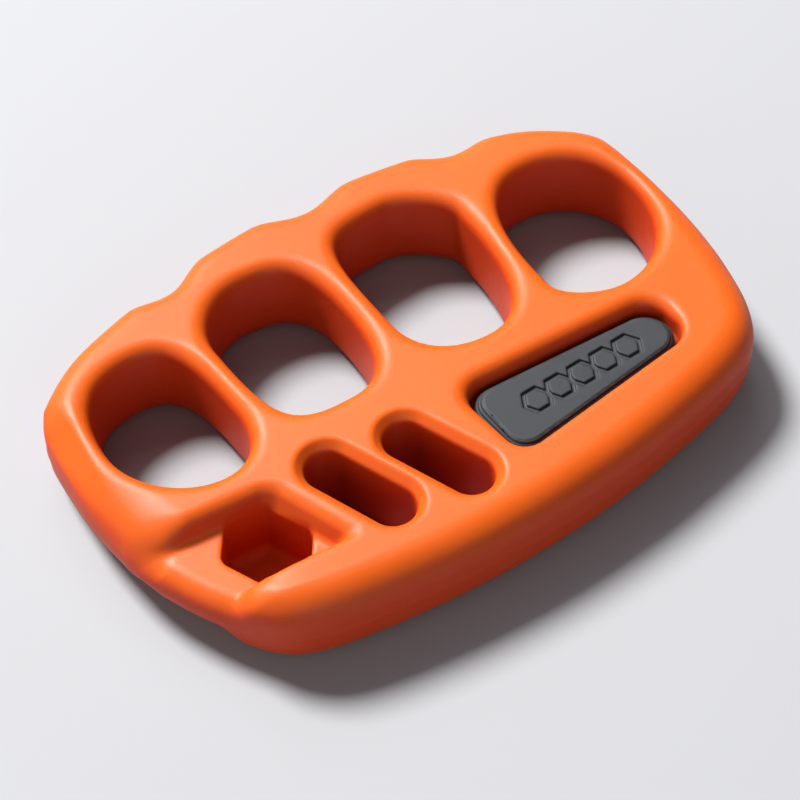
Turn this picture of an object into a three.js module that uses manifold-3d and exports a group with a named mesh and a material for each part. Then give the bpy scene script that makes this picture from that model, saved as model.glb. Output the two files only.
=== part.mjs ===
// Four-finger grip exerciser: one moulded body with four finger holes, two slots and a hexagonal
// socket, plus a soft tapered insert bonded into a pocket on each face.
// Millimetres, +Z up. The origin is under the middle of the object, at the face it lies on.
// +X runs along the row of fingers and +Y points away from the palm.
// Both faces are the same but for the groove: on the upper face it runs from the left end past the
// hexagonal socket, and on the underside it is only a short notch at the left end.

import * as THREE from 'three'
import { mergeVertices } from 'three/addons/utils/BufferGeometryUtils.js'
import Module from 'manifold-3d'

const wasm = await Module()
wasm.setup()

// Driving dimensions
const HALF_LENGTH = 57.3
const THICKNESS = 16
const EDGE_ROUND = 3.6 // round along the outer edge of both faces
const RIM_ROUND = 2.6 // round along the rim of each finger hole
const ROUND_STEPS = 3
const CURVE_STEPS = 10 // steps on each quarter of a finger hole
const PAST = 2 // how far a cutter runs past the face that it cuts

// Finger side of the outline: a shallow crown with three valleys between four knuckle bumps
const CROWN_Y = 39.2
const CROWN_FALL = 0.004 // drop per square millimetre from the middle
const SHOULDER_X = 42 // where the crown starts to turn down to the ends
const SHOULDER_FALL = 0.02
const FINGER_SIDE_END = 54
const FINGER_SIDE_STEP = 3
const VALLEYS = [
  { x: -24.7, depth: 2.5, left: 8.6, right: 8.4 },
  { x: 3.5, depth: 2.7, left: 9.7, right: 10.7 },
  { x: 31.8, depth: 2.1, left: 7, right: 8.8 },
]

// Ends and palm side of the outline, from the left shoulder round the palm to the right shoulder
const PALM_POINTS = [
  [-54, 24.7],
  [-56.2, 20],
  [-57, 12],
  [-HALF_LENGTH, 3],
  [-56.2, -8],
  [-53.6, -16],
  [-50.2, -23],
  [-45.2, -30.4],
  [-38.5, -34.2],
  [-26, -36.8],
  [-12, -38.4],
  [2, -38.8],
  [16, -38.1],
  [30, -36.1],
  [41, -33.6],
  [48, -30],
  [52.2, -24],
  [54.8, -16],
  [56.5, -7],
  [HALF_LENGTH, 3],
  [57.5, 12],
  [56.9, 20],
  [54, 24.7],
]
const PALM_STEPS = 64

// Flat slope along the left end, where it meets each face
const END_SLOPE_RUN = 5
const END_SLOPE_DROP = 4.2

// Each finger hole by its extreme points. Fullness is how square the quarter after each point is:
// 0.55 is an ellipse, and more is squarer.
const FINGER_HOLES = [
  {
    left: [-50.3, 9.5],
    top: [-38.5, 23.9],
    right: [-29.4, 5.3],
    bottom: [-37.1, -4.5],
    fullness: [0.64, 0.78, 0.61, 0.51],
  },
  {
    left: [-25.3, 18.2],
    top: [-14.8, 27.8],
    right: [-3.5, 14],
    bottom: [-12.7, -2.7],
    fullness: [0.52, 0.74, 0.68, 0.87],
  },
  {
    left: [1.2, 5.7],
    top: [14.6, 28.1],
    right: [24.6, 19.9],
    bottom: [13, -4.9],
    fullness: [0.97, 0.36, 0.64, 0.61],
  },
  {
    left: [27.3, -2.4],
    top: [39.6, 21.4],
    right: [52.8, 8.6],
    bottom: [37.4, -9.2],
    fullness: [0.68, 0.57, 0.57, 0.44],
  },
]

// Two slanted slots with sloped mouths
const SLOT_CENTRES = [
  [-22, -18.6],
  [-8.9, -20.9],
]
const SLOT_LENGTH = 19.6
const SLOT_WIDTH = 7.4
const SLOT_MOUTH = 1.6
const SLOT_LEAN = -69.4 // degrees from +X

// Groove open through the left end, with a hexagonal socket in its floor. Under it, the underside
// has a short notch of the same section.
const GROOVE_CENTRE = [-38.6, -17.2]
const GROOVE_TURN = -6.8
const GROOVE_WIDTH = 14.6
const GROOVE_RIGHT = 8.2 // from the groove's centre to its closed end
const GROOVE_LEFT = 26 // past the outline
const GROOVE_END_LEAN = -3.5 // shift of the closed end at each side wall, to follow the slots
const NOTCH_RIGHT = -10 // from the groove's centre to the notch's closed end
const GROOVE_DEPTH = 4
const GROOVE_MOUTH = 1
const HEX_FLOOR = 2 // height of the socket's bottom
const HEX_CENTRE = [-38.7, -17.9]
const HEX_FLATS = [6.7, 5.8, 6.8] // from the centre to each pair of flats, starting with the top pair

// Tapered pocket with a soft insert in it
const POCKET_CENTRE = [19.9, -20.3]
const POCKET_LENGTH = 37.2
const POCKET_LEFT_WIDTH = 16.2
const POCKET_RIGHT_WIDTH = 9.8
const POCKET_TURN = 0.7
const POCKET_CORNER = 4
const POCKET_DEPTH = 4.9
const POCKET_MOUTH = 1.3
const GAP = 0.3 // between parts that rest on each other
const BOND_THICKNESS = 0.3
const BOND_INSET = 2 // the adhesive stops short of the insert's edge
const INSERT_THICKNESS = 2.2
const INSERT_EDGE = 0.5
const INSERT_EDGE_STEPS = 2

// Helpers

const rotate = ([x, y], degrees) => {
  const angle = THREE.MathUtils.degToRad(degrees)
  return [x * Math.cos(angle) - y * Math.sin(angle), x * Math.sin(angle) + y * Math.cos(angle)]
}

const place = (point, [cx, cy], degrees) => {
  const [x, y] = rotate(point, degrees)
  return new THREE.Vector2(cx + x, cy + y)
}

// A solid of the library that joins and cuts, from a closed three.js geometry
const solid = (geometry) => {
  const bare = geometry.clone()
  bare.deleteAttribute('normal')
  bare.deleteAttribute('uv')
  const merged = mergeVertices(bare, 1e-5)
  return new wasm.Manifold(
    new wasm.Mesh({
      numProp: 3,
      vertProperties: new Float32Array(merged.attributes.position.array),
      triVerts: new Uint32Array(merged.index.array),
    }),
  )
}

const geometryOf = (body) => {
  const { vertProperties, triVerts } = body.getMesh()
  const geometry = new THREE.BufferGeometry()
  geometry.setAttribute('position', new THREE.BufferAttribute(vertProperties, 3))
  geometry.setIndex(new THREE.BufferAttribute(triVerts, 1))
  return geometry
}

// A straight prism between two heights. Its edges are rounded inwards when round is given.
const prism = (shape, low, high, round = 0, steps = ROUND_STEPS) => {
  const geometry = new THREE.ExtrudeGeometry(shape, {
    depth: high - low - 2 * round,
    bevelEnabled: round > 0,
    bevelThickness: round,
    bevelSize: round,
    bevelOffset: -round,
    bevelSegments: steps,
    curveSegments: CURVE_STEPS,
  })
  geometry.translate(0, 0, low + round)
  return geometry
}

// A cutter whose sides widen by size from its tip to the middle, and narrow again
const flare = (shape, tipLow, tipHigh, size) => {
  const geometry = new THREE.ExtrudeGeometry(shape, {
    depth: tipHigh - tipLow - 2 * size,
    bevelEnabled: true,
    bevelThickness: size,
    bevelSize: size,
    bevelSegments: 1,
    curveSegments: CURVE_STEPS,
  })
  geometry.translate(0, 0, tipLow + size)
  return geometry
}

// Cuts a recess with a sloped mouth into the upper face
const cutUpperFace = (body, shape, depth, mouth) =>
  body
    .subtract(solid(prism(shape, THICKNESS - depth, THICKNESS + PAST)))
    .subtract(solid(flare(shape, THICKNESS - mouth, THICKNESS + mouth + PAST, mouth)))

const cutUnderside = (body, shape, depth, mouth) =>
  body
    .subtract(solid(prism(shape, -PAST, depth)))
    .subtract(solid(flare(shape, -mouth - PAST, mouth, mouth)))

const cutBothFaces = (body, shape, depth, mouth) =>
  cutUnderside(cutUpperFace(body, shape, depth, mouth), shape, depth, mouth)

// Shapes

const valleyDrop = (x) =>
  VALLEYS.reduce((drop, valley) => {
    const reach = x < valley.x ? valley.left : valley.right
    const u = Math.min(Math.abs(x - valley.x) / reach, 1)
    return drop + (valley.depth * (1 + Math.cos(Math.PI * u))) / 2
  }, 0)

const fingerSideY = (x) => {
  const shoulder = Math.max(Math.abs(x) - SHOULDER_X, 0)
  return CROWN_Y - CROWN_FALL * x * x - SHOULDER_FALL * shoulder ** 2 - valleyDrop(x)
}

const bodyOutline = () => {
  const palm = new THREE.SplineCurve(PALM_POINTS.map(([x, y]) => new THREE.Vector2(x, y)))
  const points = palm.getPoints(PALM_STEPS)
  for (let x = FINGER_SIDE_END - FINGER_SIDE_STEP; x > -FINGER_SIDE_END; x -= FINGER_SIDE_STEP) {
    points.push(new THREE.Vector2(x, fingerSideY(x)))
  }
  return new THREE.Shape(points)
}

// A closed curve of four quarters through the hole's extreme points
const fingerHole = ({ left, top, right, bottom, fullness }) => {
  const path = new THREE.Path()
  const upright = (from, to, k) => {
    const bendY = from[1] + k * (to[1] - from[1])
    const bendX = to[0] - k * (to[0] - from[0])
    path.bezierCurveTo(from[0], bendY, bendX, to[1], to[0], to[1])
  }
  const level = (from, to, k) => {
    const bendX = from[0] + k * (to[0] - from[0])
    const bendY = to[1] - k * (to[1] - from[1])
    path.bezierCurveTo(bendX, from[1], to[0], bendY, to[0], to[1])
  }
  path.moveTo(left[0], left[1])
  upright(left, top, fullness[0])
  level(top, right, fullness[1])
  upright(right, bottom, fullness[2])
  level(bottom, left, fullness[3])
  return path
}

// A large plate with one finger hole, whose rims are rounded
const plateWithHole = (hole) => {
  const reach = 2 * HALF_LENGTH
  const plate = new THREE.Shape([
    new THREE.Vector2(-reach, -reach),
    new THREE.Vector2(reach, -reach),
    new THREE.Vector2(reach, reach),
    new THREE.Vector2(-reach, reach),
  ])
  plate.holes.push(fingerHole(hole))
  return prism(plate, 0, THICKNESS, RIM_ROUND)
}

// The front view of the sloped left end, carried through the whole width
const slopedEnd = () => {
  const end = -HALF_LENGTH
  const right = HALF_LENGTH + PAST
  const profile = new THREE.Shape([
    new THREE.Vector2(end + END_SLOPE_RUN, 0),
    new THREE.Vector2(right, 0),
    new THREE.Vector2(right, THICKNESS),
    new THREE.Vector2(end + END_SLOPE_RUN, THICKNESS),
    new THREE.Vector2(end, THICKNESS - END_SLOPE_DROP),
    new THREE.Vector2(end, END_SLOPE_DROP),
  ])
  const geometry = prism(profile, -HALF_LENGTH, HALF_LENGTH)
  geometry.rotateX(Math.PI / 2)
  return geometry
}

const slotShape = (centre) => {
  const radius = SLOT_WIDTH / 2
  const half = SLOT_LENGTH / 2 - radius
  const lean = THREE.MathUtils.degToRad(SLOT_LEAN)
  const quarter = Math.PI / 2
  const shape = new THREE.Shape()
  const near = place([-half, 0], centre, SLOT_LEAN)
  const far = place([half, 0], centre, SLOT_LEAN)
  shape.absarc(far.x, far.y, radius, lean - quarter, lean + quarter, false)
  shape.absarc(near.x, near.y, radius, lean + quarter, lean + 3 * quarter, false)
  return shape
}

// A hexagon with equal angles. Each corner is where two neighbouring flats meet.
const hexShape = () => {
  const cos = Math.cos(Math.PI / 3)
  const sin = Math.sin(Math.PI / 3)
  const corners = Array.from({ length: 6 }, (_, i) => {
    const flat = HEX_FLATS[i % 3]
    const next = HEX_FLATS[(i + 1) % 3]
    return rotate([(next - flat * cos) / sin, flat], -60 * i)
  })
  return new THREE.Shape(corners.map((corner) => place(corner, HEX_CENTRE, GROOVE_TURN)))
}

// The groove's outline, open to the left, with its closed end at a distance from its centre
const grooveShape = (right, lean) => {
  const half = GROOVE_WIDTH / 2
  const corners = [
    [-GROOVE_LEFT, -half],
    [right - lean, -half],
    [right + lean, half],
    [-GROOVE_LEFT, half],
  ]
  return new THREE.Shape(corners.map((corner) => place(corner, GROOVE_CENTRE, GROOVE_TURN)))
}

// A tapered plate shape with rounded corners, drawn smaller by inset all round
const taperedShape = (inset) => {
  const half = POCKET_LENGTH / 2
  const corners = [
    [-half, -POCKET_LEFT_WIDTH / 2],
    [half, -POCKET_RIGHT_WIDTH / 2],
    [half, POCKET_RIGHT_WIDTH / 2],
    [-half, POCKET_LEFT_WIDTH / 2],
  ].map((corner) => new THREE.Vector2(...corner))
  const radius = POCKET_CORNER - inset
  const shape = new THREE.Shape()
  corners.forEach((corner, i) => {
    const before = corners[(i + 3) % 4].clone().sub(corner).normalize()
    const after = corners[(i + 1) % 4].clone().sub(corner).normalize()
    const middle = before.clone().add(after).normalize()
    const halfAngle = Math.acos(middle.dot(after))
    const centre = corner.clone().addScaledVector(middle, POCKET_CORNER / Math.sin(halfAngle))
    const start = Math.atan2(-before.x, before.y)
    const end = Math.atan2(after.x, -after.y)
    const [x, y] = place([centre.x, centre.y], POCKET_CENTRE, POCKET_TURN).toArray()
    const turn = THREE.MathUtils.degToRad(POCKET_TURN)
    shape.absarc(x, y, radius, start + Math.PI + turn, end + Math.PI + turn, false)
  })
  return shape
}

// Parts

const makeBody = () => {
  let body = solid(prism(bodyOutline(), 0, THICKNESS, EDGE_ROUND)).intersect(solid(slopedEnd()))
  for (const hole of FINGER_HOLES) {
    body = body.intersect(solid(plateWithHole(hole)))
  }
  for (const centre of SLOT_CENTRES) {
    body = body.subtract(solid(prism(slotShape(centre), -PAST, THICKNESS + PAST)))
    body = cutBothFaces(body, slotShape(centre), SLOT_MOUTH, SLOT_MOUTH)
  }
  body = body.subtract(solid(prism(hexShape(), HEX_FLOOR, THICKNESS + PAST)))
  const groove = grooveShape(GROOVE_RIGHT, GROOVE_END_LEAN)
  body = cutUpperFace(body, groove, GROOVE_DEPTH, GROOVE_MOUTH)
  body = cutUnderside(body, grooveShape(NOTCH_RIGHT, 0), GROOVE_DEPTH, GROOVE_MOUTH)
  body = cutBothFaces(body, taperedShape(0), POCKET_DEPTH, POCKET_MOUTH)
  return geometryOf(body)
}

const makeBond = (low) => prism(taperedShape(BOND_INSET), low, low + BOND_THICKNESS)

const makeInsert = (low) =>
  prism(taperedShape(GAP), low, low + INSERT_THICKNESS, INSERT_EDGE, INSERT_EDGE_STEPS)

// Materials

const orangePolymer = new THREE.MeshStandardMaterial({ color: 0xf2540f, roughness: 0.42, metalness: 0 })
const charcoalRubber = new THREE.MeshStandardMaterial({ color: 0x3a3c3f, roughness: 0.8, metalness: 0 })
const clearAdhesive = new THREE.MeshStandardMaterial({ color: 0xd8d6cc, roughness: 0.5, metalness: 0 })

// Assembly

const part = new THREE.Group()

const add = (name, geometry, material) => {
  const mesh = new THREE.Mesh(geometry, material)
  mesh.name = name
  part.add(mesh)
}

// The bond rests on the pocket's floor and the insert on the bond, each with its gap
const bondLow = THICKNESS - POCKET_DEPTH + GAP
const insertLow = bondLow + BOND_THICKNESS + GAP

add('grip_body', makeBody(), orangePolymer)
add('front_bond', makeBond(bondLow), clearAdhesive)
add('front_insert', makeInsert(insertLow), charcoalRubber)
add('rear_bond', makeBond(THICKNESS - bondLow - BOND_THICKNESS), clearAdhesive)
add('rear_insert', makeInsert(THICKNESS - insertLow - INSERT_THICKNESS), charcoalRubber)

export default part
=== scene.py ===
"""Looks of the four-finger grip exerciser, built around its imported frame.

The moulded body and the two soft inserts are solids given by a formula: a field that is negative
inside the material, in millimetres. Each field is turned into a fine mesh of quads, and its points
are then moved onto the exact surface. The adhesive films keep their CAD meshes.
Both faces of the body are alike but for the groove, so shapes are measured from the nearer face.
"""
import math

import bpy
import numpy as np
from mathutils import Matrix, Vector


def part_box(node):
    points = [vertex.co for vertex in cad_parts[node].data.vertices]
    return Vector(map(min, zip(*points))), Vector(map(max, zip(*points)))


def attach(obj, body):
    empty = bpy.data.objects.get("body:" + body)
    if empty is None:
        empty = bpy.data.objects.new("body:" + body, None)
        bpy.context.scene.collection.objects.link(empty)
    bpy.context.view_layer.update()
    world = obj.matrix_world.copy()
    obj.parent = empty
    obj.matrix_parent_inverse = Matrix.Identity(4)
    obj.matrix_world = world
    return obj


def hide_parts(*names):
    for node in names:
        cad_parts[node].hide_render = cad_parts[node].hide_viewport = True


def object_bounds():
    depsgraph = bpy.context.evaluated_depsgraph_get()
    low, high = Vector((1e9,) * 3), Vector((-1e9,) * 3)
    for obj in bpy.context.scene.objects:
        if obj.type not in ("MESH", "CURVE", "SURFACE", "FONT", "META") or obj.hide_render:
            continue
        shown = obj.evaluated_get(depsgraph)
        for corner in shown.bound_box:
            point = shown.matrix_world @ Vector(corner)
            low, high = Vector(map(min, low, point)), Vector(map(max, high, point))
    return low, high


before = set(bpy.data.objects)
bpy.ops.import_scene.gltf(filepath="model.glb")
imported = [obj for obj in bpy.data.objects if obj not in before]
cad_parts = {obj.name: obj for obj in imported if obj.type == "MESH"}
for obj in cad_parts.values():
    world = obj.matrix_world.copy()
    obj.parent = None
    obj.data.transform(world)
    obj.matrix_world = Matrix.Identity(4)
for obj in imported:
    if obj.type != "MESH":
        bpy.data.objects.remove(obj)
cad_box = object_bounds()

MM = 0.001
thickness = (cad_box[1].z - cad_box[0].z) / MM
MIDDLE = thickness / 2

# ---------------------------------------------------------------- sizes, in millimetres

# Finger side of the outline: a shallow crown with three valleys between four knuckle bumps
CROWN_Y = 39.2
CROWN_FALL = 0.004
SHOULDER_X = 42
SHOULDER_FALL = 0.02
FINGER_SIDE_END = 54
FINGER_SIDE_STEP = 0.75
VALLEYS = [  # place, depth, and how far each side reaches
    (-24.7, 2.5, 8.6, 8.4),
    (3.5, 2.7, 9.7, 10.7),
    (31.8, 2.1, 7, 8.8),
]

# Ends and palm side of the outline, from the left shoulder round the palm to the right shoulder
PALM_POINTS = [
    (-54, 24.7), (-56.2, 20), (-57, 12), (-57.3, 3), (-56.2, -8), (-53.6, -16),
    (-50.2, -23), (-45.2, -30.4), (-38.5, -34.2), (-26, -36.8), (-12, -38.4), (2, -38.8),
    (16, -38.1), (30, -36.1), (41, -33.6), (48, -30), (52.2, -24), (54.8, -16),
    (56.5, -7), (57.3, 3), (57.5, 12), (56.9, 20), (54, 24.7),
]
PALM_STEPS = 10  # steps between two of the points

# Edge rounds on the outline's three sides. Each pair is where one round blends into the next.
FINGER_EDGE = 4.2
PALM_EDGE = 5.4
END_EDGE = 4.6
PALM_EDGE_Y = (2, -22)
END_EDGE_X = (44, 54)
END_EDGE_Y = (-30, -10)

# Slight lean of the outer walls towards the faces, and the low parting ridge at mid height
WALL_LEAN = 0.035
PARTING_RIDGE = 0.07
PARTING_WIDTH = 0.5

# Flat slope along the left end. Each fade is where it runs out into the rest of the body.
SLOPE_RUN = 5.2
SLOPE_DROP = 4.2
SLOPE_SOFT = (0.7, 2.8)  # round of its crease, near the finger side and near the groove
SLOPE_SOFT_Y = (15, -8)  # where the first blends into the second
SLOPE_FADE_X = (-44, -40)
SLOPE_FADE_FINGER_Y = (16, 33)
SLOPE_FADE_PALM_Y = (-11, -14.5)
SLOPE_LIFT = 3  # how far it is lifted clear of the body once it has faded

# Finger holes by their extreme points, with the fullness of the quarter after each
FINGER_HOLES = [
    ((-50.3, 9.5), (-38.5, 23.9), (-29.4, 5.3), (-37.1, -4.5), (0.64, 0.78, 0.61, 0.51)),
    ((-25.3, 18.2), (-14.8, 27.8), (-3.5, 14), (-12.7, -2.7), (0.52, 0.74, 0.68, 0.87)),
    ((1.2, 5.7), (14.6, 28.1), (24.6, 19.9), (13, -4.9), (0.97, 0.36, 0.64, 0.61)),
    ((27.3, -2.4), (39.6, 21.4), (52.8, 8.6), (37.4, -9.2), (0.68, 0.57, 0.57, 0.44)),
]
HOLE_STEPS = 24
HOLE_RIM = 3.0

# Slanted slots
SLOT_CENTRES = [(-22, -18.6), (-8.9, -20.9)]
SLOT_LENGTH = 19.6
SLOT_WIDTH = 7.4
SLOT_MOUTH = 1.6
SLOT_LEAN = math.radians(-69.4)
SLOT_SOFT = 0.3

# Groove open through the left end, and its hexagonal socket. The underside has only a short notch.
GROOVE_CENTRE = (-38.6, -17.2)
GROOVE_TURN = math.radians(-6.8)
GROOVE_WIDTH = 14.6
GROOVE_RIGHT = 8.4
NOTCH_RIGHT = -9.6
GROOVE_END_LEAN = -0.5  # shift of the closed end for each millimetre across the groove
GROOVE_END_SLOPE = 0.6  # run of the closed end for each millimetre of depth
GROOVE_FAR_SLOPE = 0.42
GROOVE_NEAR_SLOPE = 0.12
GROOVE_DEPTH = 4
GROOVE_CORNER = 1.6  # round between its side walls and its closed end
GROOVE_RIM = 1.5
GROOVE_RIM_BLEND = (1, -9)  # where the outline's edge round blends into that rim
GROOVE_LIP = 3.4  # round from the groove's floor to the outside
GROOVE_END_ROUND = 4.5  # round from its side walls to the outside
GROOVE_FLOOR_SOFT = 0.8
GROOVE_FLOOR_FADE = 3  # height over which that round fades out before mid height
GROOVE_FLOOR_REACH = 5  # how far the solid under the floor runs on past the side walls
HEX_CENTRE = (-38.7, -17.9)
HEX_FLATS = (6.7, 5.8, 6.8)
HEX_CORNER = 0.45
HEX_RIM = 0.5
HEX_FLOOR = 2  # height of the socket's bottom
HEX_FLOOR_SOFT = 2

# Pocket, and the insert in it
POCKET_TURN = math.radians(0.7)
POCKET_CENTRE = (19.9, -20.3)
POCKET_LENGTH = 37.2
POCKET_LEFT_WIDTH = 16.2
POCKET_RIGHT_WIDTH = 9.8
POCKET_CORNER = 4
POCKET_DEPTH = 4.9
POCKET_NEAR_RIM = 1.1
POCKET_FAR_RIM = 2.7
POCKET_RIM_BLEND = 6  # distance each way from the pocket's axis over which the two rims blend
POCKET_FLOOR_SOFT = 0.5
INSERT_GAP = 0.45
INSERT_CORNER = 4.6
INSERT_BEVEL_RUN = 1.35
INSERT_BEVEL_DROP = 1.4
INSERT_STEPS = 3  # shallow steps down the bevel
INSERT_STEP_DEPTH = 0.09
INSERT_SOFT = 0.25
MARK_COUNT = 5
MARK_SPACING = 4.6
MARK_SIZE = 2.1
MARK_STROKE = 0.34
MARK_DEPTH = 0.5
MARK_SOFT = 0.12
SHARP = 0.02  # a round too small to see

# Sizes of the mesh cells. The body's are fine round the slots and the groove.
BODY_CELLS = (0.41, 0.72)
BODY_HEIGHT_CELL = 0.5
FINE_X = (-56, 2)
FINE_Y = (-32, -6)
INSERT_CELL = 0.2
SLOPE_REACH = 0.04  # half the distance over which a field's slope is measured
FLAT_STEP = 0.2  # size of the cells in the plane tables of distances
PULL_TO_MIDDLE = 0.06  # keeps a mesh point steady where its tangent planes are nearly parallel
SURFACE_PASSES = 3
LARGEST_MOVE = 0.15  # of a mesh point in one pass
SMALLEST_SLOPE = 0.5

# How far a surface points up or down where the walls' painted shade, a deeper red, ends and the
# faces' orange starts
WALL_UPRIGHT = 0.15
FACE_UPRIGHT = 0.9
NOISE_RANGE = (0.3, 0.7)  # the part of a noise texture's range that is spread over a mix

# Lights: name, azimuth and elevation in degrees, distance and diameter in metres, watts
LIGHTS = [
    ("key", 101, 51, 2.4, 0.75, 168),
    ("veil", 72, 50, 1.2, 0.8, 4),
    ("front_fill", 250, 20, 1.2, 0.8, 3.2),
    ("left_fill", 185, 20, 1.2, 0.8, 2),
]
WORLD_COLOUR = (0.98, 0.89, 0.95, 1)
WORLD_STRENGTH = 0.23
FLOOR_HALF = 3.0  # metres

# Camera: azimuth, elevation and roll in degrees, distance and target in millimetres
CAMERA_ANGLES = (-33.5, 50.970, -2.030)
CAMERA_DISTANCE = 325
CAMERA_TARGET = (-4.230, -3.619, 8.0)
CAMERA_LENS = 90
CAMERA_SENSOR = 36


# ---------------------------------------------------------------- plane curves

def turned(x, y, centre, angle):
    """Coordinates along and across a shape that is turned by angle about centre."""
    along = (x - centre[0]) * math.cos(angle) + (y - centre[1]) * math.sin(angle)
    across = (y - centre[1]) * math.cos(angle) - (x - centre[0]) * math.sin(angle)
    return along, across


def smooth_step(low, high, value):
    t = np.clip((value - low) / (high - low), 0, 1)
    return t * t * (3 - 2 * t)


def blend(first, second, amount):
    return first + (second - first) * amount


def finger_side(x):
    shoulder = max(abs(x) - SHOULDER_X, 0)
    y = CROWN_Y - CROWN_FALL * x * x - SHOULDER_FALL * shoulder ** 2
    for place, depth, left, right in VALLEYS:
        reach = left if x < place else right
        u = min(abs(x - place) / reach, 1)
        y -= depth * (1 + math.cos(math.pi * u)) / 2
    return y


def spline(points, steps):
    """A smooth curve through the points."""
    p = np.array(points, float)
    padded = np.vstack([p[:1], p, p[-1:]])
    t = (np.arange(steps) / steps)[:, None]
    found = []
    for i in range(len(p) - 1):
        a, b, c, d = padded[i:i + 4]
        slope_b, slope_c = (c - a) / 2, (d - b) / 2
        cubic = 2 * b - 2 * c + slope_b + slope_c
        square = 3 * c - 3 * b - 2 * slope_b - slope_c
        found.append(((cubic * t + square) * t + slope_b) * t + b)
    return np.vstack(found)


def body_outline():
    xs = np.arange(FINGER_SIDE_END, -FINGER_SIDE_END, -FINGER_SIDE_STEP)
    finger = [(x, finger_side(x)) for x in xs]
    return np.vstack([spline(PALM_POINTS, PALM_STEPS), finger])


def quarter(start, end, fullness, upright):
    """A curve between two extreme points, leaving the first upright or level."""
    a, d = np.array(start, float), np.array(end, float)
    if upright:
        b = np.array([a[0], a[1] + fullness * (d[1] - a[1])])
        c = np.array([d[0] - fullness * (d[0] - a[0]), d[1]])
    else:
        b = np.array([a[0] + fullness * (d[0] - a[0]), a[1]])
        c = np.array([d[0], d[1] - fullness * (d[1] - a[1])])
    t = (np.arange(HOLE_STEPS) / HOLE_STEPS)[:, None]
    s = 1 - t
    return s ** 3 * a + 3 * t * s * s * b + 3 * t * t * s * c + t ** 3 * d


def finger_hole(left, top, right, bottom, fullness):
    ring = [left, top, right, bottom, left]
    parts = [quarter(ring[i], ring[i + 1], fullness[i], i % 2 == 0) for i in range(4)]
    return np.vstack(parts)


# ---------------------------------------------------------------- plane distances

def loop_distance(x, y, loop):
    """Signed distance from points to a closed loop, negative inside it."""
    px, py = x.ravel().astype(np.float32), y.ravel().astype(np.float32)
    a = loop.astype(np.float32)
    d = np.roll(a, -1, axis=0) - a
    length_squared = (d ** 2).sum(1)
    found = np.empty(len(px), np.float32)
    chunk = 8192
    for i in range(0, len(px), chunk):
        rx = px[i:i + chunk, None] - a[:, 0]
        ry = py[i:i + chunk, None] - a[:, 1]
        t = np.clip((rx * d[:, 0] + ry * d[:, 1]) / length_squared, 0, 1)
        near = (rx - t * d[:, 0]) ** 2 + (ry - t * d[:, 1]) ** 2
        spans = (ry >= 0) != (ry - d[:, 1] >= 0)
        rise = np.where(d[:, 1] == 0, 1, d[:, 1])
        crosses = spans & (rx < ry * d[:, 0] / rise)
        inside = crosses.sum(1) % 2 == 1
        found[i:i + chunk] = np.sqrt(near.min(1)) * np.where(inside, -1, 1)
    return found.reshape(x.shape)


class FlatTable:
    """Signed distances to a loop, kept in a plane table and read between its cells."""

    def __init__(self, loop, margin):
        self.low = loop.min(0) - margin
        high = loop.max(0) + margin
        xs = np.arange(self.low[0], high[0] + FLAT_STEP, FLAT_STEP)
        ys = np.arange(self.low[1], high[1] + FLAT_STEP, FLAT_STEP)
        self.values = loop_distance(*np.meshgrid(xs, ys, indexing="ij"), loop)

    def at(self, x, y):
        limit = np.array(self.values.shape) - 1.001  # just inside the last cell
        u = np.clip((x - self.low[0]) / FLAT_STEP, 0, limit[0])
        v = np.clip((y - self.low[1]) / FLAT_STEP, 0, limit[1])
        i, j = u.astype(int), v.astype(int)
        u, v = u - i, v - j
        t = self.values
        near = t[i, j] * (1 - u) + t[i + 1, j] * u
        far = t[i, j + 1] * (1 - u) + t[i + 1, j + 1] * u
        return near * (1 - v) + far * v


def slot_distance(x, y, centre):
    along, across = turned(x, y, centre, SLOT_LEAN)
    radius = SLOT_WIDTH / 2
    beyond = np.maximum(np.abs(along) - (SLOT_LENGTH / 2 - radius), 0)
    return np.hypot(beyond, across) - radius


def hexagon_distance(x, y):
    along, across = turned(x, y, HEX_CENTRE, GROOVE_TURN)
    sides = []
    for i in range(6):
        angle = math.radians(90 - 60 * i)
        flat = HEX_FLATS[i % 3] - HEX_CORNER
        sides.append(along * math.cos(angle) + across * math.sin(angle) - flat)
    inner = sides[0]
    for side in sides[1:]:
        inner = both(inner, side, HEX_CORNER)
    return inner - HEX_CORNER


def tapered_distance(x, y, inset, corner):
    """Distance to the tapered plate shape drawn smaller by inset, with rounded corners."""
    along, across = turned(x, y, POCKET_CENTRE, POCKET_TURN)
    taper = (POCKET_LEFT_WIDTH - POCKET_RIGHT_WIDTH) / 2 / POCKET_LENGTH
    middle = (POCKET_LEFT_WIDTH + POCKET_RIGHT_WIDTH) / 4
    side = (np.abs(across) + taper * along - middle) / math.hypot(1, taper)
    end = np.abs(along) - POCKET_LENGTH / 2
    return both(side + inset, end + inset, corner)


# ---------------------------------------------------------------- solids

def both(a, b, radius):
    """The overlap of two fields, with a round of that radius where their surfaces cross."""
    corner = np.hypot(np.maximum(a + radius, 0), np.maximum(b + radius, 0))
    return np.minimum(-radius, np.maximum(a, b)) + corner


def either(a, b, radius):
    return -both(-a, -b, radius)


outline_table = FlatTable(body_outline(), 3)
hole_tables = [FlatTable(finger_hole(*hole), 8) for hole in FINGER_HOLES]


def edge_round(x, y):
    """Radius of the outline's edge round at a place."""
    palm = smooth_step(*PALM_EDGE_Y, y)
    end = smooth_step(*END_EDGE_X, x) * smooth_step(*END_EDGE_Y, y)
    others = FINGER_EDGE + (END_EDGE - FINGER_EDGE) * end
    return blend(others, PALM_EDGE, palm)


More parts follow.
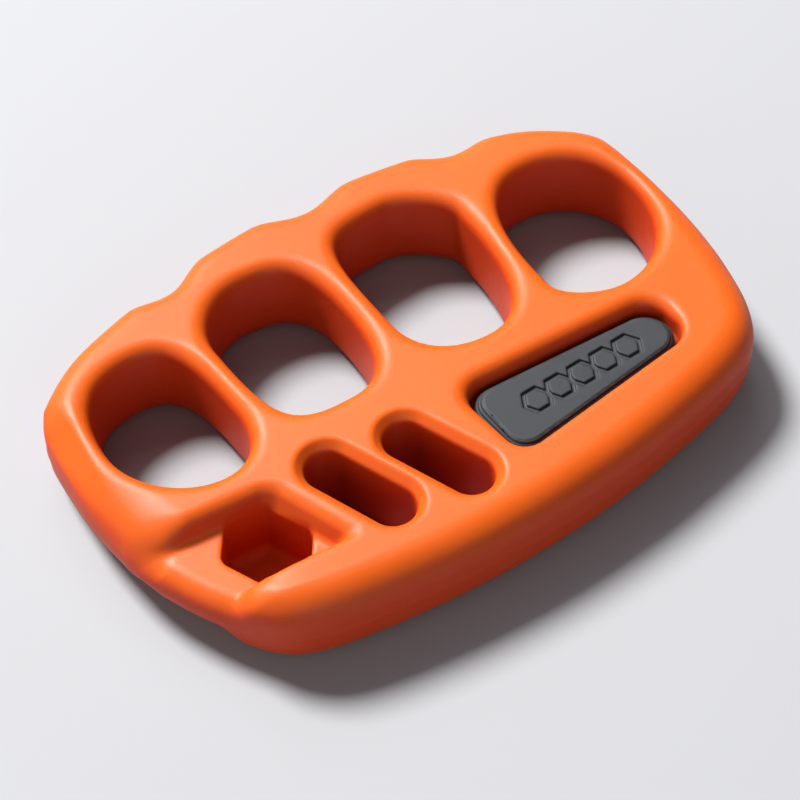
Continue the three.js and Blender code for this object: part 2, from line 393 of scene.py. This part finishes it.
def sloped_end(x, y, outline, depth):
    """The flat slope of the left end. It fades out before the finger side and the groove."""
    tilt = math.hypot(SLOPE_DROP, SLOPE_RUN)
    slope = (SLOPE_DROP * (outline + SLOPE_RUN) - SLOPE_RUN * depth) / tilt
    faded = smooth_step(*SLOPE_FADE_X, x)
    faded = faded + smooth_step(*SLOPE_FADE_FINGER_Y, y) + smooth_step(*SLOPE_FADE_PALM_Y, y)
    return slope - SLOPE_LIFT * faded


def groove_walls(x, y, z, depth):
    """Distance to the groove's sloping walls, negative between them."""
    along, across = turned(x, y, GROOVE_CENTRE, GROOVE_TURN)
    half = GROOVE_WIDTH / 2
    sides = np.maximum(
        (across - half + GROOVE_FAR_SLOPE * depth) / math.hypot(1, GROOVE_FAR_SLOPE),
        -across - half + GROOVE_NEAR_SLOPE * depth,
    )
    right = np.where(z > MIDDLE, GROOVE_RIGHT + GROOVE_END_LEAN * across, NOTCH_RIGHT)
    end = along - right + GROOVE_END_SLOPE * depth
    end = end / math.hypot(math.hypot(1, GROOVE_END_LEAN), GROOVE_END_SLOPE)
    return both(sides, end, GROOVE_CORNER)


def body_field(x, y, z):
    """The moulded body: its outline between the two faces, less everything cut into it."""
    from_middle = np.abs(z - MIDDLE)
    depth = MIDDLE - from_middle  # below the nearer face
    outline = outline_table.at(x, y)
    wall = outline + WALL_LEAN * from_middle
    wall = wall - PARTING_RIDGE * np.exp(-(from_middle / PARTING_WIDTH) ** 2)

    # The groove leaves the solid beside its walls and the solid below its floor
    walls = groove_walls(x, y, z, depth)
    beside = both(wall, -walls, GROOVE_END_ROUND)
    below = both(wall, GROOVE_DEPTH - depth, GROOVE_LIP)
    below = np.maximum(below, walls - GROOVE_FLOOR_REACH)
    soft = GROOVE_FLOOR_SOFT * smooth_step(MIDDLE, MIDDLE - GROOVE_FLOOR_FADE, depth) + SHARP
    field = either(beside, below, soft)

    # The faces, with their edge round or the groove's rim, and the slope at the left end
    at_groove = smooth_step(*GROOVE_RIM_BLEND, outline + walls)
    field = both(field, -depth, blend(edge_round(x, y), GROOVE_RIM, at_groove))
    crease = blend(*SLOPE_SOFT, smooth_step(*SLOPE_SOFT_Y, y))
    field = both(field, sloped_end(x, y, outline, depth), crease)

    for table in hole_tables:
        field = both(field, -table.at(x, y), HOLE_RIM)
    for centre in SLOT_CENTRES:
        slot = slot_distance(x, y, centre)
        mouth = (slot - SLOT_MOUTH + depth) / math.sqrt(2)
        field = both(field, -mouth, SLOT_SOFT)
        field = both(field, -slot, SLOT_SOFT)
    socket = both(hexagon_distance(x, y), HEX_FLOOR - z, HEX_FLOOR_SOFT)
    field = both(field, -socket, HEX_RIM)
    across = turned(x, y, POCKET_CENTRE, POCKET_TURN)[1]
    at_far_side = smooth_step(-POCKET_RIM_BLEND, POCKET_RIM_BLEND, across)
    sides = tapered_distance(x, y, 0, POCKET_CORNER)
    pocket = both(sides, depth - POCKET_DEPTH, POCKET_FLOOR_SOFT)
    return both(field, -pocket, blend(POCKET_NEAR_RIM, POCKET_FAR_RIM, at_far_side))


def hexagon_ring(along, across):
    """Distance to the middle line of a hexagonal ring."""
    farthest = np.abs(across)
    for degrees in (30, -30):
        angle = math.radians(degrees)
        side = np.abs(along * math.cos(angle) + across * math.sin(angle))
        farthest = np.maximum(farthest, side)
    return np.abs(farthest - MARK_SIZE)


def insert_field(x, y, z, low, high, face_up):
    """A soft plate between two heights, with a bevelled, stepped border and a row of debossed
    hexagons on the side that faces out."""
    out = (z - high) if face_up else (low - z)
    back = (low - z) if face_up else (z - high)
    shape = tapered_distance(x, y, INSERT_GAP, INSERT_CORNER)
    run = np.clip(shape / INSERT_BEVEL_RUN + 1, 0, None)  # 0 at the bevel's top, 1 at its foot
    steps = INSERT_STEP_DEPTH * np.sin(2 * math.pi * INSERT_STEPS * run)
    tilt = math.hypot(INSERT_BEVEL_RUN, INSERT_BEVEL_DROP) / INSERT_BEVEL_RUN
    bevel = (out + INSERT_BEVEL_DROP * run + steps) / tilt
    field = both(shape, np.maximum(out, back), INSERT_SOFT)
    field = both(field, bevel, INSERT_SOFT)
    along, across = turned(x, y, POCKET_CENTRE, POCKET_TURN)
    for i in range(MARK_COUNT):
        place = (i - (MARK_COUNT - 1) / 2) * MARK_SPACING
        stroke = hexagon_ring(along - place, across) - MARK_STROKE
        sunk = both(stroke, -out - MARK_DEPTH, MARK_SOFT)
        field = both(field, -sunk, MARK_SOFT)
    return field


# ---------------------------------------------------------------- meshes

def slope_of(field, p):
    """The field and its slope at points."""
    x, y, z = p.T
    reach = SLOPE_REACH
    slope = np.stack([
        field(x + reach, y, z) - field(x - reach, y, z),
        field(x, y + reach, z) - field(x, y - reach, z),
        field(x, y, z + reach) - field(x, y, z - reach),
    ], 1) / (2 * reach)
    return field(x, y, z), slope


def crossed_edges(values, axis):
    """Starts of the grid's edges along an axis where the values change sign, in whole steps, and
    how far along each edge the change is. Also the four cells round each edge, in an order that
    makes a quad facing out."""
    inside = values < 0
    low = [slice(1, -1)] * 3
    low[axis] = slice(0, -1)
    high = list(low)
    high[axis] = slice(1, None)
    start = np.stack(np.nonzero(inside[tuple(low)] != inside[tuple(high)]), 1) + 1
    start[:, axis] -= 1
    end = start.copy()
    end[:, axis] += 1
    here, there = values[tuple(start.T)], values[tuple(end.T)]
    cells = np.repeat(start[:, None], 4, axis=1)
    for corner, (b, c) in enumerate([(-1, -1), (0, -1), (0, 0), (-1, 0)]):
        cells[:, corner, (axis + 1) % 3] += b
        cells[:, corner, (axis + 2) % 3] += c
    backward = here >= 0
    cells[backward] = cells[backward][:, ::-1]
    return start, end, here / (here - there), cells


def surface_mesh(field, axes):
    """Points and quads of the surface where a field changes sign, from a grid with the given
    axes. Each crossed cell has one point, put where the tangent planes at its edges meet, so that
    the points follow the creases."""
    shape = [len(places) for places in axes]
    values = field(axes[0][:, None, None], axes[1][None, :, None], axes[2][None, None, :])
    spots, owners = [], []
    for axis in range(3):
        start, end, part, cells = crossed_edges(values, axis)
        first = np.stack([axes[k][start[:, k]] for k in range(3)], 1)
        last = np.stack([axes[k][end[:, k]] for k in range(3)], 1)
        spots.append(first + (last - first) * part[:, None])
        owners.append(np.ravel_multi_index(tuple(np.moveaxis(cells, 2, 0)), shape))
    spots, owners = np.vstack(spots), np.vstack(owners)
    used, quads = np.unique(owners, return_inverse=True)
    quads = quads.reshape(owners.shape)

    here, slope = slope_of(field, spots)
    size = np.sqrt((slope ** 2).sum(1))
    normal = slope / size[:, None]
    offset = (normal * spots).sum(1) - here / size

    def total(amounts):
        return np.bincount(quads.ravel(), np.repeat(amounts, 4), len(used))

    count = total(np.ones(len(spots)))
    middle = np.stack([total(spots[:, k]) for k in range(3)], 1) / count[:, None]
    pull = np.stack([total(normal[:, k] * offset) for k in range(3)], 1)
    matrix = np.empty((len(used), 3, 3))
    for i in range(3):
        for j in range(3):
            matrix[:, i, j] = total(normal[:, i] * normal[:, j])
    pull = pull - np.einsum("nij,nj->ni", matrix, middle)
    steady = PULL_TO_MIDDLE * np.eye(3)
    points = middle + np.linalg.solve(matrix + steady, pull[..., None])[..., 0]
    cell = np.stack(np.unravel_index(used, shape), 1)
    low = np.stack([axes[k][cell[:, k]] for k in range(3)], 1)
    high = np.stack([axes[k][cell[:, k] + 1] for k in range(3)], 1)
    points = np.clip(points, low, high)
    for _ in range(SURFACE_PASSES):
        here, slope = slope_of(field, points)
        squared = np.maximum((slope ** 2).sum(1), SMALLEST_SLOPE ** 2)
        move = -(here / squared)[:, None] * slope
        points = points + np.clip(move, -LARGEST_MOVE, LARGEST_MOVE)
    return points, quads


def even_places(low, high, step):
    """Evenly spaced places about the middle of a range, with a cell in the middle."""
    half = np.arange(step / 2, (high - low) / 2 + 2 * step, step)
    return (low + high) / 2 + np.concatenate([-half[::-1], half])


def graded_places(low, high, zone, steps):
    """Places over a range, closer together in one zone of it."""
    fine, coarse = steps
    inner = np.arange(zone[0], zone[1], fine)
    before = np.arange(inner[0] - coarse, low - 2 * coarse, -coarse)[::-1]
    after = np.arange(inner[-1] + coarse, high + 2 * coarse, coarse)
    return np.concatenate([before, inner, after])


def solid_mesh(name, field, axes):
    """A mesh object on the surface of a field, from grid places in millimetres."""
    points, quads = surface_mesh(field, axes)
    mesh = bpy.data.meshes.new(name)
    mesh.vertices.add(len(points))
    mesh.vertices.foreach_set("co", (points * MM).astype(np.float32).ravel())
    mesh.loops.add(quads.size)
    mesh.loops.foreach_set("vertex_index", quads.ravel().astype(np.int32))
    mesh.polygons.add(len(quads))
    mesh.polygons.foreach_set("loop_start", np.arange(0, quads.size, 4, dtype=np.int32))
    mesh.update(calc_edges=True)
    mesh.validate()
    mesh.shade_smooth()
    piece = bpy.data.objects.new(name, mesh)
    bpy.context.scene.collection.objects.link(piece)
    return piece


# ---------------------------------------------------------------- materials

def new_material(name):
    material = bpy.data.materials.new(name)
    material.use_nodes = True
    nodes, links = material.node_tree.nodes, material.node_tree.links
    return material, nodes, links, nodes["Principled BSDF"]


def noise(nodes, links, scale, detail, stretch=(1, 1, 1)):
    """A noise texture fixed to the piece. The scale is in features per metre."""
    place = nodes.new("ShaderNodeTexCoord")
    mapping = nodes.new("ShaderNodeMapping")
    mapping.inputs["Scale"].default_value = stretch
    texture = nodes.new("ShaderNodeTexNoise")
    texture.inputs["Scale"].default_value = scale
    texture.inputs["Detail"].default_value = detail
    links.new(place.outputs["Object"], mapping.inputs["Vector"])
    links.new(mapping.outputs["Vector"], texture.inputs["Vector"])
    return texture


def ramp(nodes, links, source, low, high):
    """Spreads a noise texture between two values."""
    node = nodes.new("ShaderNodeMapRange")
    node.inputs["From Min"].default_value = NOISE_RANGE[0]
    node.inputs["From Max"].default_value = NOISE_RANGE[1]
    node.inputs["To Min"].default_value = low
    node.inputs["To Max"].default_value = high
    links.new(source.outputs["Fac"], node.inputs["Value"])
    return node


def bump(nodes, links, source, strength, distance, before=None):
    """Relief from a noise texture, with its height in metres, laid over another relief."""
    node = nodes.new("ShaderNodeBump")
    node.inputs["Strength"].default_value = strength
    node.inputs["Distance"].default_value = distance
    links.new(source.outputs["Fac"], node.inputs["Height"])
    if before:
        links.new(before.outputs["Normal"], node.inputs["Normal"])
    return node


def two_colours(nodes, links, first, second, factor):
    """A mix of two colours. The second may be the output of another node."""
    mix = nodes.new("ShaderNodeMix")
    mix.data_type = "RGBA"
    mix.inputs["A"].default_value = (*first, 1)
    if isinstance(second, tuple):
        mix.inputs["B"].default_value = (*second, 1)
    else:
        links.new(second, mix.inputs["B"])
    links.new(factor.outputs["Result"], mix.inputs["Factor"])
    return mix.outputs["Result"]


def painted_wall_shade(nodes, links):
    """From 0 on the walls of the body to 1 on its faces: the mask of the walls' painted shade."""
    coordinates = nodes.new("ShaderNodeTexCoord")
    split = nodes.new("ShaderNodeSeparateXYZ")
    links.new(coordinates.outputs["Normal"], split.inputs["Vector"])
    upright = nodes.new("ShaderNodeMath")
    upright.operation = "ABSOLUTE"
    links.new(split.outputs["Z"], upright.inputs[0])
    node = nodes.new("ShaderNodeMapRange")
    node.interpolation_type = "SMOOTHSTEP"
    links.new(upright.outputs["Value"], node.inputs["Value"])
    node.inputs["From Min"].default_value = WALL_UPRIGHT
    node.inputs["From Max"].default_value = FACE_UPRIGHT
    return node


def orange_polymer():
    """Satin moulded polymer that lets some light through. Its walls have a painted shade, a deeper
    red than its faces."""
    material, nodes, links, shader = new_material("orange_polymer")
    blotch = ramp(nodes, links, noise(nodes, links, 45, 3), 0, 1)
    faces = two_colours(nodes, links, (0.50, 0.078, 0.003), (0.47, 0.070, 0.003), blotch)
    # Painted shade: the deeper red where the surface stands upright, on walls and in recesses
    colour = two_colours(nodes, links, (0.42, 0.034, 0.004), faces, painted_wall_shade(nodes, links))
    links.new(colour, shader.inputs["Base Color"])
    shader.inputs["Subsurface Weight"].default_value = 0.35
    shader.inputs["Subsurface Radius"].default_value = (1.0, 0.2, 0.04)
    shader.inputs["Subsurface Scale"].default_value = 0.0022
    smear = noise(nodes, links, 160, 4)
    links.new(ramp(nodes, links, smear, 0.44, 0.52).outputs["Result"], shader.inputs["Roughness"])
    shader.inputs["Specular IOR Level"].default_value = 0.22
    fine = noise(nodes, links, 1400, 2)
    wave = noise(nodes, links, 90, 2, (1, 1, 6))
    soft = bump(nodes, links, wave, 0.05, 0.0006)
    grain = bump(nodes, links, fine, 0.04, 0.00006, soft)
    links.new(grain.outputs["Normal"], shader.inputs["Normal"])
    return material


def charcoal_rubber():
    """Matt rubber with a fine grain."""
    material, nodes, links, shader = new_material("charcoal_rubber")
    cloud = noise(nodes, links, 260, 5)
    spread = ramp(nodes, links, cloud, 0, 1)
    colour = two_colours(nodes, links, (0.015, 0.0168, 0.019), (0.022, 0.0245, 0.0275), spread)
    links.new(colour, shader.inputs["Base Color"])
    links.new(ramp(nodes, links, cloud, 0.55, 0.7).outputs["Result"], shader.inputs["Roughness"])
    shader.inputs["Specular IOR Level"].default_value = 0.25
    grain = noise(nodes, links, 3200, 3)
    links.new(bump(nodes, links, grain, 0.25, 0.00008).outputs["Normal"], shader.inputs["Normal"])
    return material


def clear_adhesive():
    """Milky adhesive film."""
    material, nodes, links, shader = new_material("clear_adhesive")
    streak = noise(nodes, links, 500, 3)
    spread = ramp(nodes, links, streak, 0, 1)
    colour = two_colours(nodes, links, (0.62, 0.61, 0.55), (0.72, 0.71, 0.66), spread)
    links.new(colour, shader.inputs["Base Color"])
    links.new(ramp(nodes, links, streak, 0.35, 0.55).outputs["Result"], shader.inputs["Roughness"])
    shader.inputs["Subsurface Weight"].default_value = 0.3
    shader.inputs["Subsurface Scale"].default_value = 0.0008
    links.new(bump(nodes, links, streak, 0.2, 0.0001).outputs["Normal"], shader.inputs["Normal"])
    return material


def floor_material():
    """Plain pale grey."""
    material, _, _, shader = new_material("floor")
    shader.inputs["Base Color"].default_value = (0.268, 0.271, 0.280, 1)
    shader.inputs["Roughness"].default_value = 0.85
    return material


# ---------------------------------------------------------------- the object

orange = orange_polymer()
charcoal = charcoal_rubber()
adhesive = clear_adhesive()


def box_mm(node):
    """Low and high corners of a node's box, in millimetres."""
    low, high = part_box(node)
    return [v / MM for v in low], [v / MM for v in high]


def make_body():
    low, high = box_mm("grip_body")
    axes = [
        graded_places(low[0], high[0], FINE_X, BODY_CELLS),
        graded_places(low[1], high[1], FINE_Y, BODY_CELLS),
        even_places(low[2], high[2], BODY_HEIGHT_CELL),
    ]
    piece = solid_mesh("moulded_body", body_field, axes)
    piece.data.materials.append(orange)
    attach(piece, "root")
    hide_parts("grip_body")


def make_insert(name, node, face_up):
    low, high = box_mm(node)

    def field(x, y, z):
        return insert_field(x, y, z, low[2], high[2], face_up)

    axes = [even_places(a, b, INSERT_CELL) for a, b in zip(low, high)]
    piece = solid_mesh(name, field, axes)
    piece.data.materials.append(charcoal)
    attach(piece, "root")
    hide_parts(node)


def dress_bond(node):
    """An adhesive film keeps its CAD mesh and only gets a material."""
    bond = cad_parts[node]
    bond.data.materials.clear()
    bond.data.materials.append(adhesive)


make_body()
make_insert("front_soft_insert", "front_insert", True)
make_insert("rear_soft_insert", "rear_insert", False)
dress_bond("front_bond")
dress_bond("rear_bond")


# ---------------------------------------------------------------- floor, light and camera

def make_floor():
    mesh = bpy.data.meshes.new("floor")
    signs = [(-1, -1), (1, -1), (1, 1), (-1, 1)]
    corners = [(FLOOR_HALF * a, FLOOR_HALF * b, 0) for a, b in signs]
    mesh.from_pydata(corners, [], [(0, 1, 2, 3)])
    mesh.materials.append(floor_material())
    floor = bpy.data.objects.new("floor", mesh)
    bpy.context.scene.collection.objects.link(floor)


def direction(azimuth, elevation):
    """From the object towards a place, azimuth in degrees anticlockwise from +X."""
    a, e = math.radians(azimuth), math.radians(elevation)
    return Vector((math.cos(a) * math.cos(e), math.sin(a) * math.cos(e), math.sin(e)))


def area_light(name, azimuth, elevation, distance, size, power):
    """A white disc of light that faces the object."""
    data = bpy.data.lights.new(name, "AREA")
    data.shape = "DISK"
    data.size = size
    data.energy = power
    light = bpy.data.objects.new(name, data)
    away = direction(azimuth, elevation)
    light.location = away * distance
    light.rotation_mode = "QUATERNION"
    light.rotation_quaternion = away.to_track_quat("Z", "Y")
    bpy.context.scene.collection.objects.link(light)


def make_world():
    world = bpy.data.worlds.new("studio")
    world.use_nodes = True
    background = world.node_tree.nodes["Background"]
    background.inputs["Color"].default_value = WORLD_COLOUR
    background.inputs["Strength"].default_value = WORLD_STRENGTH
    bpy.context.scene.world = world


def make_camera():
    """Placed where the object was seen from: turned, raised and slightly rolled."""
    azimuth, elevation, roll = (math.radians(a) for a in CAMERA_ANGLES)
    back = Vector((
        math.sin(azimuth) * math.cos(elevation),
        -math.cos(azimuth) * math.cos(elevation),
        math.sin(elevation),
    ))
    level = Vector((math.cos(azimuth), math.sin(azimuth), 0))
    upright = back.cross(level)
    right = math.cos(roll) * level + math.sin(roll) * upright
    up = math.cos(roll) * upright - math.sin(roll) * level
    data = bpy.data.cameras.new("camera")
    data.sensor_width = CAMERA_SENSOR
    data.lens = CAMERA_LENS
    data.clip_start = 0.01
    data.clip_end = 20
    camera = bpy.data.objects.new("camera", data)
    rows = Matrix((right, up, back)).transposed().to_4x4()
    rows.translation = (Vector(CAMERA_TARGET) + back * CAMERA_DISTANCE) * MM
    camera.matrix_world = rows
    bpy.context.scene.collection.objects.link(camera)
    bpy.context.scene.camera = camera


make_floor()
make_world()
for light in LIGHTS:
    area_light(*light)
make_camera()
bpy.context.scene.view_settings.view_transform = "Standard"
